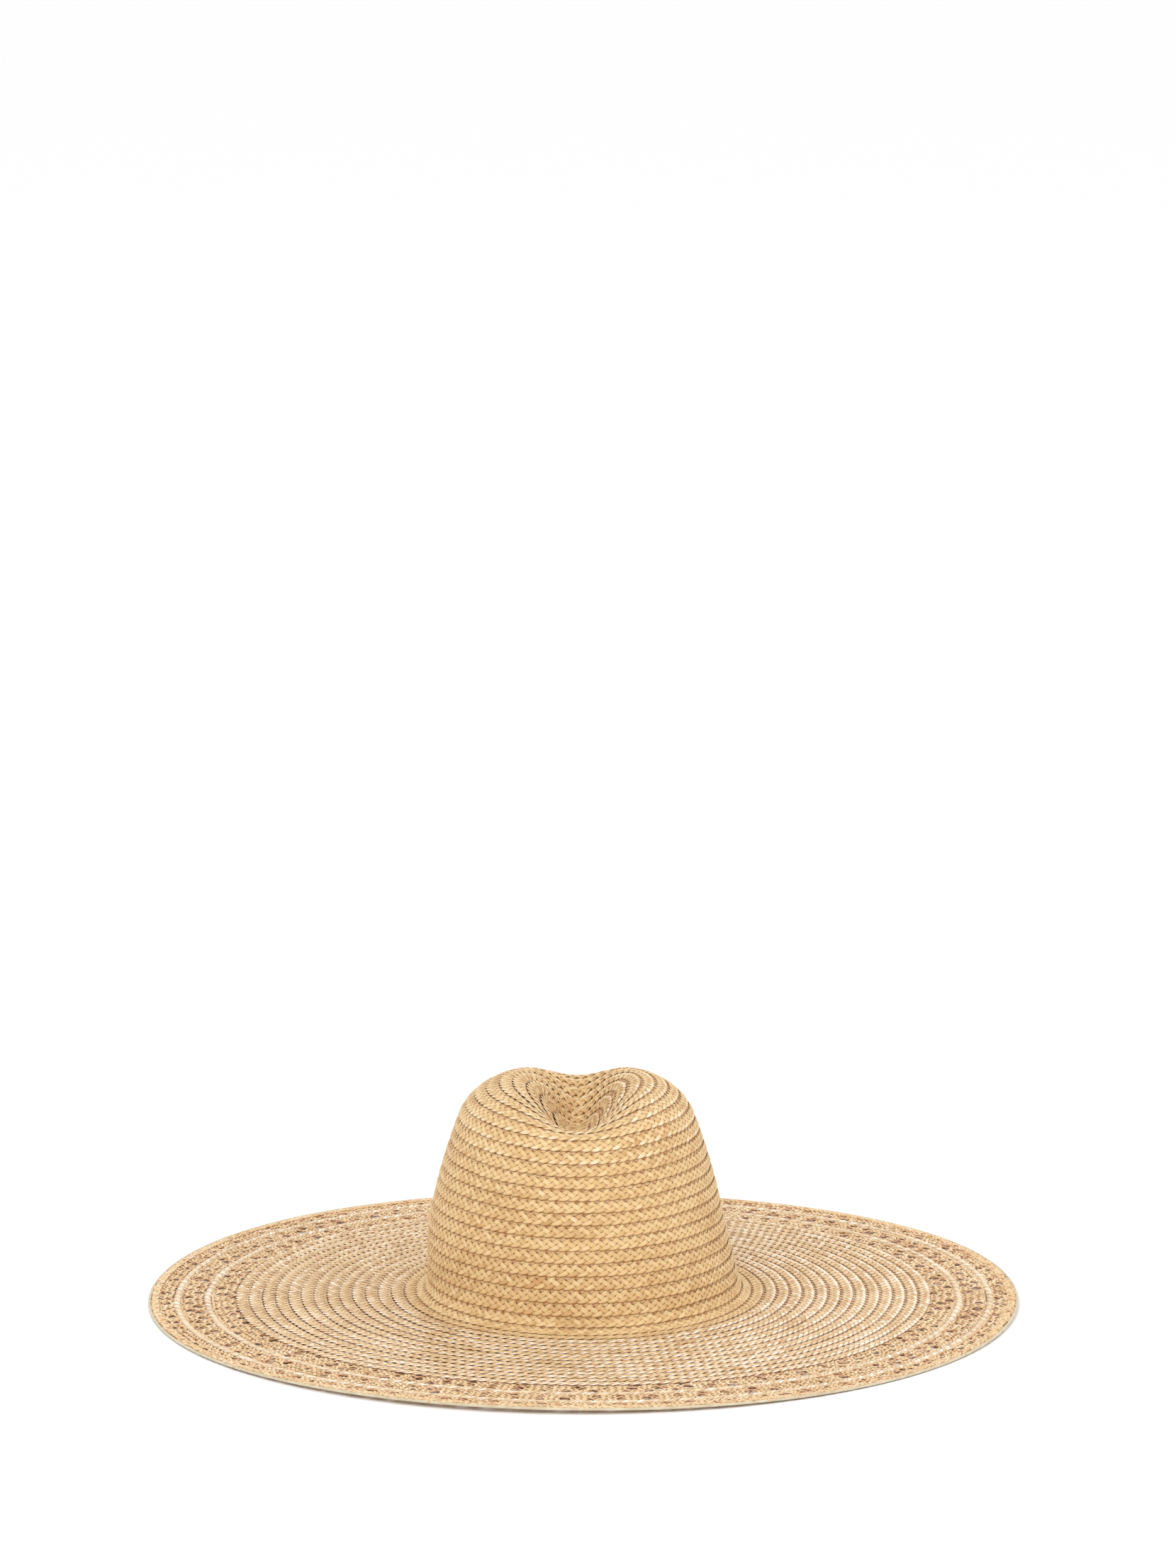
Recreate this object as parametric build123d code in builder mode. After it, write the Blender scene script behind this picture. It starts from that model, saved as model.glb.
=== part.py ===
from build123d import *
import os
from math import cos, exp, hypot, pi, radians, sin

# Wide-brimmed straw sun hat with a centre-dent crown, sewn from rounds of flat raffia braid.
# Every round is an oval hoop of braid.  Its outer edge laps over the inner edge of the next round,
# from the button in the middle of the tip, down the crown's side and out over the brim.
# Past the plain rounds come three openwork bands, with two twisted cords between them, and the edge.
#
# Frame: Z is up and the brim's rim rests on Z = 0.  X runs across the hat and Y runs from its back
# (-Y, the dent's wide end) to its front (+Y).  The origin is under the middle of the hat.
# Units are millimetres.

# ---- the blocked shape -------------------------------------------------------------------------

# All ovals of the hat are of one family: half width w and half length w + OVAL.
OVAL = 13.6

# The profile from the middle of the tip out to the rim, as arcs: (length, slope at start, at end).
TIP_CAP = (39.2, 0.0, -7.0)
SHOULDER = (30.3, -7.0, -69.5)
CROWN_SIDE = (90.7, -69.5, -85.0)
FLARE = (15.5, -85.0, -2.0)
BRIM_FALL = (141.2, -2.0, 0.0)
PROFILE = (TIP_CAP, SHOULDER, CROWN_SIDE, FLARE, BRIM_FALL)

# The centre dent pressed into the tip.
DENT_DEPTH = 33.0
DENT_HALF_WIDTH = 21.0
DENT_TAPER = 4.5 / 80  # the dent narrows towards the front
DENT_ASIDE = -3.2  # the dent's middle lies a little to one side
DENT_FLAT_END = 8.0  # the dent keeps its full depth up to here along the profile
DENT_END = 70.0  # and it has run out here
LIP_SAG = 2.5  # the crown's top edge dips at both ends of the dent
LIP_HALF_WIDTH = 58.0

# The crown leans to one side from this height down to the brim.
LEAN = -3.7
LEAN_HEIGHT = 45.0

# The brim waves a little towards the rim.
WAVE = 0.9

# ---- braid and trimmings -----------------------------------------------------------------------

BUTTON_HALF_WIDTH = 5.0
PITCH = 6.95  # from one round to the next
LAP = 2.4  # how far a round reaches over the next one
BRAID = 1.1  # thickness of the flat braid
CLEARANCE = 0.4  # between lapped rounds
TIP_ROUNDS = 10
SIDE_ROUNDS = 15
BRIM_ROUNDS = 13

LACE_INNER_WIDTH = 14.8
LACE_MIDDLE_WIDTH = 11.5
LACE_OUTER_WIDTH = 6.9
LACE = 1.3  # thickness of an openwork band
TRIM_GAP = 0.25  # between the bands, cords and edge
CORD_WIDTH = 4.6  # a ridge cord is a little flattened
CORD = 2.6
EDGE_BRAID = 2.2
EDGE_WIRE = 1.3  # diameter of the wire along the rim
EDGE_WIRE_HEIGHT = 1.1
ROUND_SIDES = 8  # sides of a cord's or the wire's section

SWEATBAND_HEIGHT = 32.0
SWEATBAND_UP = 2.0  # its lower edge above the start of the flare
SWEATBAND = 0.7
SWEATBAND_INSET = 0.35  # between the braid and the ribbon
JOIN_HALF_WIDTH = 7.0
JOIN = 0.6
JOIN_INSET = 0.2  # between the ribbon and the tab over its ends
STITCHES = 96
STITCH = 0.5
STITCH_LENGTH = 3.6
STITCH_UP = 2.5  # the stitches above the ribbon's lower edge

STATIONS = 24  # sections round one hoop
DENT_STATIONS = 48  # and round one in the dent, where the shape changes faster
DENT_ROUNDS = 4
ROUND_SPANS = 3  # straight spans across one round of braid, which bends with the hat

os.makedirs("parts", exist_ok=True)


# ---- the shape's formula -----------------------------------------------------------------------

def smooth(start, end, value):
    """Runs smoothly from 0 at start to 1 at end."""
    share = min(max((value - start) / (end - start), 0.0), 1.0)
    return share * share * (3 - 2 * share)


def arc_run(length, slope_start, slope_end, distance):
    """Where an arc of the profile has got to after a distance: (across, up)."""
    start = radians(slope_start)
    bend = radians(slope_end - slope_start) / length
    here = start + bend * distance
    return (sin(here) - sin(start)) / bend, (cos(start) - cos(here)) / bend


def profile(s):
    """Half width and height, relative to the tip's middle, at a length s along the profile."""
    w = 0.0
    z = 0.0
    for length, slope_start, slope_end in PROFILE:
        distance = min(s, length)
        if length == BRIM_FALL[0]:
            distance = s
        across, up = arc_run(length, slope_start, slope_end, distance)
        w += across
        z += up
        s -= distance
        if s <= 0:
            break
    return w, z


PROFILE_LENGTH = sum(arc[0] for arc in PROFILE)
CROWN_LENGTH = PROFILE_LENGTH - BRIM_FALL[0]
LACE_START = BUTTON_HALF_WIDTH + PITCH * (TIP_ROUNDS + SIDE_ROUNDS + BRIM_ROUNDS)
BASE_HEIGHT = profile(CROWN_LENGTH)[1] - profile(PROFILE_LENGTH)[1]


def dent(x, y, s):
    """How far the tip is pressed down at a place."""
    x -= DENT_ASIDE
    half_width = DENT_HALF_WIDTH - DENT_TAPER * y
    pressed = DENT_DEPTH * exp(-((x / half_width) ** 2)) * (1 - smooth(DENT_FLAT_END, DENT_END, s))
    lip = smooth(20, 55, s) * (1 - smooth(60, 135, s))
    return pressed + LIP_SAG * (1 - y / 120) * exp(-((x / LIP_HALF_WIDTH) ** 2)) * lip


def reference(s, angle):
    """The underside of the hat in the section plane at an angle: (half width, height)."""
    w, drop = profile(s)
    height = drop - profile(CROWN_LENGTH)[1]
    w += LEAN * smooth(0, LEAN_HEIGHT, height) * cos(angle)
    x = w * cos(angle)
    y = (w + OVAL) * sin(angle)
    wave = WAVE * sin(3 * angle + 0.6) * smooth(CROWN_LENGTH, PROFILE_LENGTH, s)
    return w, height + BASE_HEIGHT + WAVE + wave - dent(x, y, s)


def offset_point(s, angle, out):
    """A point at a distance out from the underside, along its normal in the section plane."""
    step = 0.5
    w0, z0 = reference(max(s - step, 0.0), angle)
    w1, z1 = reference(s + step, angle)
    w, z = reference(s, angle)
    run = hypot(w1 - w0, z1 - z0)
    return w - out * (z1 - z0) / run, z + out * (w1 - w0) / run


def station(angle):
    """The upright plane of one section: its x runs outwards and its y runs up."""
    return Plane(
        origin=(0, OVAL * sin(angle), 0),
        x_dir=(cos(angle), sin(angle), 0),
        z_dir=(sin(angle), -cos(angle), 0),
    )


def section(angle, outline):
    """The sketch of an outline, a list of (s, out) corners, in the section plane at an angle."""
    with BuildSketch(station(angle)) as drawn:
        with BuildLine():
            Polyline(*[offset_point(s, angle, out) for s, out in outline], close=True)
        make_face()
    return drawn.sketch


def half_turn(half, stations):
    """The angles of the sections round one half of a hoop."""
    return [pi * half + 2 * pi * i / stations for i in range(stations // 2 + 1)]


def hoop(outline, stations=STATIONS):
    """A closed hoop of one outline, lofted in two halves."""
    with BuildPart() as made:
        for half in range(2):
            loft([section(angle, outline) for angle in half_turn(half, stations)])
    return made


def band(start, end, low, high):
    """The outline of a flat band between two profile lengths."""
    return [(start, low), (end, low), (end, high), (start, high)]


def rounded(s, out, width, height):
    """The outline of a cord about a place, with flats of its own at the top, bottom and sides."""
    turns = [2 * pi * (i + 0.5) / ROUND_SIDES for i in range(ROUND_SIDES)]
    reach = 1 / cos(pi / ROUND_SIDES)
    return [(s + reach * width / 2 * cos(turn), out + reach * height / 2 * sin(turn)) for turn in turns]


def finish(piece, label):
    """Names a piece and writes its file."""
    piece.part.label = label
    export_step(piece.part, f"parts/{label}.step")


# ---- the button in the middle of the tip ---------------------------------------------------------

BUTTON_EDGE = BUTTON_HALF_WIDTH + LAP
BUTTON_SECTIONS = 8
BUTTON_END = 0.985  # the first and last sections, as a share of the half length


def dent_floor(x, y, out):
    """A point at a distance out from the bottom of the dent, in the section across the hat at y."""
    height = BASE_HEIGHT + WAVE - profile(CROWN_LENGTH)[1] - dent(x, y, 0)
    slope = dent(x, y, 0) - dent(x + 1, y, 0)
    run = hypot(1, slope)
    return x - out * slope / run, height + out / run


def button_section(y):
    """The sketch of the button's cross-section, which follows the dent and leans with the tip."""
    room = 1 - (y / (BUTTON_EDGE + OVAL)) ** 2
    half = BUTTON_EDGE * room**0.5
    places = [LEAN * room + x * half for x in (-1, -0.5, 0, 0.5, 1)]
    under = [dent_floor(x, y, BRAID + CLEARANCE) for x in places]
    upper = [dent_floor(x, y, 2 * BRAID + CLEARANCE) for x in reversed(places)]
    with BuildSketch(Plane(origin=(0, y, 0), x_dir=(1, 0, 0), z_dir=(0, -1, 0))) as drawn:
        with BuildLine():
            Spline(*under)
            Line(under[-1], upper[0])
            Spline(*upper)
            Line(upper[-1], under[0])
        make_face()
    return drawn.sketch


button_half_length = BUTTON_END * (BUTTON_EDGE + OVAL)
button_places = [-cos(pi * i / BUTTON_SECTIONS) * button_half_length for i in range(BUTTON_SECTIONS + 1)]
with BuildPart() as crown_button:
    loft([button_section(y) for y in button_places])
finish(crown_button, "crown_button")

# ---- the plain rounds of braid -------------------------------------------------------------------

RISE = (BRAID + CLEARANCE) / PITCH  # slope of a round, which lies on the next one's edge


def braid_outline(number):
    """The outline of one plain round, counted from the button."""
    start = BUTTON_HALF_WIDTH + PITCH * (number - 1)
    across = [(PITCH + LAP) * i / ROUND_SPANS for i in range(ROUND_SPANS + 1)]
    under = [(start + step, RISE * step) for step in across]
    return under + [(s, out + BRAID) for s, out in reversed(under)]


first = 1
for zone, count in (("tip", TIP_ROUNDS), ("side", SIDE_ROUNDS), ("brim", BRIM_ROUNDS)):
    for number in range(count):
        stations = DENT_STATIONS if first + number <= DENT_ROUNDS else STATIONS
        finish(hoop(braid_outline(first + number), stations), f"{zone}_round_{number + 1:02d}")
    first += count

# ---- openwork bands, ridge cords, edge -------------------------------------------------------------

place = LACE_START
for label, width in (("inner", LACE_INNER_WIDTH), ("middle", LACE_MIDDLE_WIDTH)):
    finish(hoop(band(place, place + width, 0, LACE)), f"lace_band_{label}")
    place += width + TRIM_GAP
    cord_label = "ridge_cord_inner" if label == "inner" else "ridge_cord_outer"
    finish(hoop(rounded(place + CORD_WIDTH / 2, CORD / 2, CORD_WIDTH, CORD)), cord_label)
    place += CORD_WIDTH + TRIM_GAP
finish(hoop(band(place, place + LACE_OUTER_WIDTH, 0, LACE)), "lace_band_outer")
place += LACE_OUTER_WIDTH + TRIM_GAP
finish(hoop(band(place, PROFILE_LENGTH, 0, EDGE_BRAID)), "edge_braid")
wire_place = PROFILE_LENGTH + TRIM_GAP + EDGE_WIRE / 2
finish(hoop(rounded(wire_place, EDGE_WIRE_HEIGHT, EDGE_WIRE, EDGE_WIRE)), "edge_wire")

# ---- the sweatband inside the crown ----------------------------------------------------------------

band_bottom = CROWN_LENGTH - FLARE[0] - SWEATBAND_UP
band_top = band_bottom - SWEATBAND_HEIGHT
band_face = -SWEATBAND_INSET - SWEATBAND
finish(hoop(band(band_top, band_bottom, band_face, -SWEATBAND_INSET)), "sweatband")

# A folded tab covers the ribbon's two ends at the back.
join_face = band_face - JOIN_INSET - JOIN
join_angle = JOIN_HALF_WIDTH / profile(band_bottom)[0]
join_outline = band(band_top + 0.5, band_bottom - 0.5, join_face, band_face - JOIN_INSET)
with BuildPart() as sweatband_join:
    loft([section(turn - pi / 2, join_outline) for turn in (-join_angle, 0, join_angle)])
finish(sweatband_join, "sweatband_join")


def stitch_plane(angle):
    """Where one stitch lies on the ribbon: its z runs along the ribbon."""
    s = band_bottom - STITCH_UP
    w, z = offset_point(s, angle, band_face - STITCH)
    along = (-w * sin(angle), (w + OVAL) * cos(angle), 0)
    return Plane(origin=(w * cos(angle), (w + OVAL) * sin(angle), z), x_dir=(0, 0, 1), z_dir=along)


stitch_angles = [2 * pi * (i + 0.5) / STITCHES for i in range(STITCHES)]
clear_of_join = [a for a in stitch_angles if abs(a - 3 * pi / 2) > join_angle + 0.03]
with BuildPart() as sweatband_stitches:
    with Locations(*[stitch_plane(a) for a in clear_of_join]):
        Cylinder(STITCH / 2, STITCH_LENGTH)
finish(sweatband_stitches, "sweatband_stitches")
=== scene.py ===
import math

import bpy
import numpy as np
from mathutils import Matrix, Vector


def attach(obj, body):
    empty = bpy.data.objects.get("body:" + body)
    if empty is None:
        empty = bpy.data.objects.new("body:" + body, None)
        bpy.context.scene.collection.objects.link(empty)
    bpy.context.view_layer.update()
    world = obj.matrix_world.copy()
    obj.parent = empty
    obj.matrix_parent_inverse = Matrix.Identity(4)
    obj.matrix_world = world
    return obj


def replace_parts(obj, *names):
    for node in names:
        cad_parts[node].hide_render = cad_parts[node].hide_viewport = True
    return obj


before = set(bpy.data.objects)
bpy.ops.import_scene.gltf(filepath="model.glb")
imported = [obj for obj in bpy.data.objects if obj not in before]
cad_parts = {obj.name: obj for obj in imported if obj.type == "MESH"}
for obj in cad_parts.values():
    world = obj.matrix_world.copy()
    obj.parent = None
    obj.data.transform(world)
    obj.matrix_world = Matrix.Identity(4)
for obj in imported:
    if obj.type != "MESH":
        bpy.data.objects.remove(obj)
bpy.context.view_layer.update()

# A straw sun hat of raffia plaits.  Every strand of every plait is modelled, and follows the same
# blocked shape as the CAD: a profile from the middle of the tip out to the rim, run round an oval.
# A place on the hat is a length s along that profile and an angle round the hat.  Lengths on the
# hat are in millimetres until its meshes are made.  The stage, lights and camera are in metres.

MM = 0.001

# ---- the blocked shape, as in the CAD ------------------------------------------------------------

OVAL = 13.6  # the half length of every oval is its half width plus this

# The profile's arcs: (length, slope at start, slope at end).
TIP_CAP = (39.2, 0.0, -7.0)
SHOULDER = (30.3, -7.0, -69.5)
CROWN_SIDE = (90.7, -69.5, -85.0)
FLARE = (15.5, -85.0, -2.0)
BRIM_FALL = (141.2, -2.0, 0.0)
PROFILE = (TIP_CAP, SHOULDER, CROWN_SIDE, FLARE, BRIM_FALL)
PROFILE_LENGTH = sum(arc[0] for arc in PROFILE)
CROWN_LENGTH = PROFILE_LENGTH - BRIM_FALL[0]

DENT_DEPTH = 33.0
DENT_HALF_WIDTH = 21.0
DENT_TAPER = 4.5 / 80  # the dent narrows towards the front
DENT_ASIDE = -3.2  # the dent's middle lies a little to one side
DENT_FLAT_END = 8.0  # the dent keeps its full depth up to here along the profile
DENT_END = 70.0  # and it has run out here
LIP_SAG = 2.5  # the crown's top edge dips at both ends of the dent
LIP_HALF_WIDTH = 58.0
LIP_FRONT = 120.0  # the dip grows less towards the front, and would be none here
LIP_START = (20, 55)  # the dip comes in between these lengths along the profile
LIP_END = (60, 135)  # and runs out between these

LEAN = -3.7  # the crown leans to one side
LEAN_HEIGHT = 45.0  # from this height down to the brim
WAVE = 0.9  # the brim waves a little towards the rim
WAVE_COUNT = 3
WAVE_START = 0.6

# ---- braid and trimmings, as in the CAD ----------------------------------------------------------

BUTTON_HALF_WIDTH = 5.0
PITCH = 6.95  # from one round to the next
LAP = 2.4  # how far a round reaches over the next one
BRAID = 1.1  # thickness of the flat braid
CLEARANCE = 0.4  # between lapped rounds
TIP_ROUNDS = 10
SIDE_ROUNDS = 15
BRIM_ROUNDS = 13
LACE_INNER_WIDTH = 14.8
LACE_MIDDLE_WIDTH = 11.5
LACE_OUTER_WIDTH = 6.9
TRIM_GAP = 0.25  # between the bands, cords and edge
CORD_WIDTH = 4.6
CORD = 2.6
SWEATBAND_HEIGHT = 32.0
SWEATBAND_UP = 2.0  # its lower edge above the start of the flare
SWEATBAND = 0.7
SWEATBAND_INSET = 0.35  # between the braid and the ribbon
JOIN_HALF_WIDTH = 7.0
JOIN = 0.6
JOIN_INSET = 0.2  # between the ribbon and the tab over its ends
STITCHES = 96
STITCH_LENGTH = 3.6
STITCH_UP = 2.5  # the stitches above the ribbon's lower edge


def smooth(start, end, value):
    """Runs smoothly from 0 at start to 1 at end."""
    share = np.clip((value - start) / (end - start), 0.0, 1.0)
    return share * share * (3 - 2 * share)


def profile(s):
    """Half width and height, relative to the tip's middle, at lengths s along the profile."""
    left = np.asarray(s, float)
    w = np.zeros_like(left)
    z = np.zeros_like(left)
    for arc in PROFILE:
        length, slope_start, slope_end = arc
        start = math.radians(slope_start)
        bend = math.radians(slope_end - slope_start) / length
        run = np.maximum(left, 0.0)
        if arc is not BRIM_FALL:  # the brim's arc runs on past the rim
            run = np.minimum(run, length)
        here = start + bend * run
        w = w + (np.sin(here) - math.sin(start)) / bend
        z = z + (math.cos(start) - np.cos(here)) / bend
        left = left - run
    return w, z


CROWN_DROP = float(profile(CROWN_LENGTH)[1])
BASE_HEIGHT = CROWN_DROP - float(profile(PROFILE_LENGTH)[1])


def dent(x, y, s):
    """How far the tip is pressed down at a place."""
    x = x - DENT_ASIDE
    half_width = DENT_HALF_WIDTH - DENT_TAPER * y
    pressed = DENT_DEPTH * np.exp(-((x / half_width) ** 2)) * (1 - smooth(DENT_FLAT_END, DENT_END, s))
    lip = smooth(*LIP_START, s) * (1 - smooth(*LIP_END, s))
    return pressed + LIP_SAG * (1 - y / LIP_FRONT) * np.exp(-((x / LIP_HALF_WIDTH) ** 2)) * lip


def surface(s, angle):
    """Points on the hat's underside."""
    w, drop = profile(s)
    height = drop - CROWN_DROP
    w = w + LEAN * smooth(0, LEAN_HEIGHT, height) * np.cos(angle)
    x = w * np.cos(angle)
    y = (w + OVAL) * np.sin(angle)
    wave = WAVE * np.sin(WAVE_COUNT * angle + WAVE_START) * smooth(CROWN_LENGTH, PROFILE_LENGTH, s)
    z = height + BASE_HEIGHT + WAVE + wave - dent(x, y, s)
    return np.stack([x, y, z], axis=-1)


def button_surface(s, angle):
    """The bottom of the dent, where s runs across it and angle is a distance along it."""
    z = BASE_HEIGHT + WAVE - CROWN_DROP - dent(s, angle, np.zeros_like(s))
    return np.stack([s, angle, z], axis=-1)


NORMAL_STEP = 0.4  # half the distance that a normal is measured over
NORMAL_TURN = 0.004  # and half the angle, in radians
FINE_ANGLES = 1441  # points of a hoop when its length is measured


def unit(vectors):
    return vectors / np.maximum(np.linalg.norm(vectors, axis=-1, keepdims=True), 1e-9)


def normal(s, angle, form=surface):
    """The outward normal of the hat."""
    turn = NORMAL_STEP if form is button_surface else NORMAL_TURN
    along = form(s, angle + turn) - form(s, angle - turn)
    across = form(s + NORMAL_STEP, angle) - form(s - NORMAL_STEP, angle)
    return unit(np.cross(across, along))


def lifted(s, angle, out, form=surface):
    """Points at a distance out from the underside."""
    return form(s, angle) + normal(s, angle, form) * np.asarray(out)[..., None]


def lengths_along(line):
    """The length from the start of a line of points to each of them."""
    return np.concatenate([[0], np.cumsum(np.linalg.norm(np.diff(line, axis=0), axis=1))])


def even_angles(s, count):
    """Angles at even lengths round the hoop at s, closed, and the length of its whole turn."""
    fine = np.linspace(0, 2 * math.pi, FINE_ANGLES)
    lengths = lengths_along(surface(np.full_like(fine, s), fine))
    places = np.linspace(0, lengths[-1], count + 1)
    return np.interp(places, lengths, fine), lengths[-1]


def turn_length(s):
    """The length of the hoop at s."""
    return even_angles(s, 1)[1]


def wander(angle, waves, size, seed):
    """A smooth closed random line round the hat, made of so many waves in a turn."""
    draw = np.random.default_rng(seed)
    line = np.zeros_like(angle)
    for wave in waves:
        line = line + np.sin(wave * angle + draw.uniform(0, 2 * math.pi)) * draw.uniform(0.4, 1.0)
    return line * size / len(waves) ** 0.5


# ---- strands -------------------------------------------------------------------------------------

# The section of a strand, as shares of its half width and half thickness.
FLAT_RING = np.array([(-1, 0), (-0.5, 0.85), (0.5, 0.85), (1, 0), (0.5, -0.7), (-0.5, -0.7)])
ROUND_RING = np.array([(-1, 0), (-0.5, 0.87), (0.5, 0.87), (1, 0), (0.5, -0.87), (-0.5, -0.87)])
SIDES = 6  # of both sections
UNWRAP_GAP = 0.7  # between the rows of an unwrap, in sides


def add_piece(name, mesh, material):
    """Makes an object of a mesh.  The whole hat is one body."""
    mesh.polygons.foreach_set("use_smooth", np.ones(len(mesh.polygons), dtype=bool))
    mesh.validate()
    mesh.materials.append(material)
    piece = bpy.data.objects.new(name, mesh)
    bpy.context.scene.collection.objects.link(piece)
    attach(piece, "root")
    return piece


class Strands:
    """Collects strands and makes one mesh object of them.

    Each point carries two attributes for the materials.  Its weave is its length along the strand,
    its place across it and the strand's own place in the noise.  Its tone is its base tint, how
    brown it is and how deep in shade.
    """

    def __init__(self, name):
        self.name = name
        self.points = []
        self.faces = []
        self.weave = []
        self.tone = []
        self.runs = []
        self.count = 0

    def add(self, line, up, half_width, half_thick, tone, ring=FLAT_RING):
        """Adds one strand along a line of points, with its flat side turned up.

        Its tone is its place in the noise, and then its base tint, brown and shade.
        """
        steps = len(line)
        ahead = unit(np.gradient(line, axis=0))
        side = unit(np.cross(ahead, up))
        over = np.cross(side, ahead)
        half_width = np.broadcast_to(half_width, (steps,))
        half_thick = np.broadcast_to(half_thick, (steps,))
        body = (
            line[:, None, :]
            + side[:, None, :] * (ring[None, :, 0] * half_width[:, None])[..., None]
            + over[:, None, :] * (ring[None, :, 1] * half_thick[:, None])[..., None]
        )
        self.points.append(body.reshape(-1, 3))
        weave = np.zeros((steps, SIDES, 3))
        weave[:, :, 0] = lengths_along(line)[:, None]
        weave[:, :, 1] = ring[None, :, 0]
        weave[:, :, 2] = tone[0]
        self.weave.append(weave.reshape(-1, 3))
        shades = np.ones((steps, SIDES, 4))
        for channel, values in enumerate(tone[1:]):
            shades[:, :, channel] = np.broadcast_to(values, (steps,))[:, None]
        self.tone.append(shades.reshape(-1, 4))
        self._add_faces(steps)
        self.count += steps * SIDES

    def _add_faces(self, steps):
        """Faces round the strand, and two at each end that close it."""
        here = np.arange(SIDES)
        after = np.roll(here, -1)
        start = np.arange(steps - 1)[:, None] * SIDES
        end = start + SIDES
        quads = np.stack([start + here, start + after, end + after, end + here], axis=-1)
        self.faces.append(quads.reshape(-1, 4) + self.count)
        self.runs.append((steps - 1, SIDES))
        last = (steps - 1) * SIDES + here
        ends = [here[[3, 2, 1, 0]], here[[5, 4, 3, 0]], last[[0, 1, 2, 3]], last[[0, 3, 4, 5]]]
        self.faces.append(np.array(ends) + self.count)
        self.runs.append((len(ends), 1))

    def build(self, material):
        """Makes the object, with an unwrap of its own."""
        points = np.concatenate(self.points) * MM
        faces = np.concatenate(self.faces)
        mesh = bpy.data.meshes.new(self.name)
        mesh.vertices.add(len(points))
        mesh.vertices.foreach_set("co", points.astype(np.float32).ravel())
        mesh.loops.add(faces.size)
        mesh.loops.foreach_set("vertex_index", faces.astype(np.int32).ravel())
        mesh.polygons.add(len(faces))
        mesh.polygons.foreach_set("loop_start", np.arange(0, faces.size, 4, dtype=np.int32))
        mesh.polygons.foreach_set("loop_total", np.full(len(faces), 4, dtype=np.int32))
        mesh.update(calc_edges=True)
        weave = mesh.attributes.new("weave", "FLOAT_VECTOR", "POINT")
        weave.data.foreach_set("vector", np.concatenate(self.weave).astype(np.float32).ravel())
        tone = mesh.attributes.new("tone", "FLOAT_COLOR", "POINT")
        tone.data.foreach_set("color", np.concatenate(self.tone).astype(np.float32).ravel())
        layer = mesh.uv_layers.new(name="OFBake")
        layer.data.foreach_set("uv", self._unwrap().astype(np.float32).ravel())
        return add_piece(self.name, mesh, material)

    def _unwrap(self):
        """A grid of rows.  A row holds a run of steps along u, with the strand's sides along v."""
        total = sum(steps for steps, _ in self.runs)
        columns = int(math.ceil((total * (SIDES + UNWRAP_GAP)) ** 0.5))
        rows = int(math.ceil(total / columns)) + 1
        high = rows * (SIDES + UNWRAP_GAP)
        corners = []
        done = 0
        for steps, sides in self.runs:
            place = done + np.arange(steps)
            column = (place % columns)[:, None]
            row = (place // columns)[:, None] * (SIDES + UNWRAP_GAP)
            u0 = np.broadcast_to(column / columns, (steps, sides))
            u1 = np.broadcast_to((column + 1) / columns, (steps, sides))
            v0 = (row + np.arange(sides)[None, :]) / high
            v1 = (row + np.arange(sides)[None, :] + 1) / high
            corners.append(np.stack([u0, v0, u0, v1, u1, v1, u1, v0], axis=-1).reshape(-1, 8))
            done += steps
        return np.concatenate(corners)


# ---- plaits --------------------------------------------------------------------------------------

CELL_POINTS = 4  # points of a strand in each cell, in which it goes over once and under once
BRAID_ROUND_OFF = 0.6  # how rounded a strand's turns are in plain braid, from 0 to 1
SLACK = 0.42  # how far inside the plait's edges a strand turns, as a share of the strand's width
TURN_NARROWER = 0.3  # a strand is folded at its turns: narrower
TURN_THICKER = 0.5  # and thicker
TURN_SHARPNESS = 6  # the power that keeps the fold to the turns
WIDTH_STRAY = 0.07  # how unevenly wide a strand is, as a share of its width
RAGGED = (0.6, 1.0)  # the ragged part of a plait comes in between these shares of its width

# A round starts low, under the one before it, and rises to lie over the next.
LAP_RISE = (0.2, 5.0)  # the rise, one millimetre in all, lies between these distances across it
SWELL = 0.25  # and it swells by this much across its middle
SWELL_START = (1.5, 5.0)
SWELL_END = (2.6, -0.6)  # from its far edge back

# Painted shade and a painted highlight across a plait, between shares of its width.
LAP_SHADE = (0.23, 0.31)
EDGE_SHADE = (0.9, 1.0)
PAINTED_HIGHLIGHT = (0.74, 0.88)
UNDER_SHADE = 0.3  # where a strand passes under the others
EYELET_SHADE = 0.65  # at the rim of an eyelet
DEEPEST = 1.1
# Painted sheen: strands on their way out are paler than those on their way back, as the fibres' sheen
# makes them look.
SLANT_SHEEN = 0.07  # strands on their way out are paler than those on their way back
# The painted shadow line at a lap comes and goes.
DASHES = (0.1, 0.7, 1.25)  # the line at a lap comes and goes: least, usual and most
DASH_STRAY = 0.9

# The random lines of a plait, as numbers of waves in one turn of the hat.
DRIFT_WAVES = (3, 5, 8, 13)
STRAY_WAVES = (17, 29, 41, 67, 97)
WIDTH_WAVES = (23, 37, 53)
DASH_WAVES = (83, 131, 179, 233)
RAGGED_WAVES = (149, 197, 241, 311)


def over_under(phase, strands):
    """The height of a strand, -1 to 1, as it passes over and under the others of a flat plait."""
    turns = phase * strands
    near_low = np.minimum(phase, 1 - phase) < 0.5 / strands
    near_high = np.abs(phase - 0.5) < 0.5 / strands
    going_up = phase < 0.5
    height = np.where(going_up, -np.cos(2 * math.pi * turns), np.cos(2 * math.pi * turns))
    signed = np.where(phase > 0.5, phase - 1, phase)
    height = np.where(near_low, np.sin(math.pi * strands * signed), height)
    return np.where(near_high, np.sin(math.pi * strands * (phase - 0.5)), height)


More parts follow.
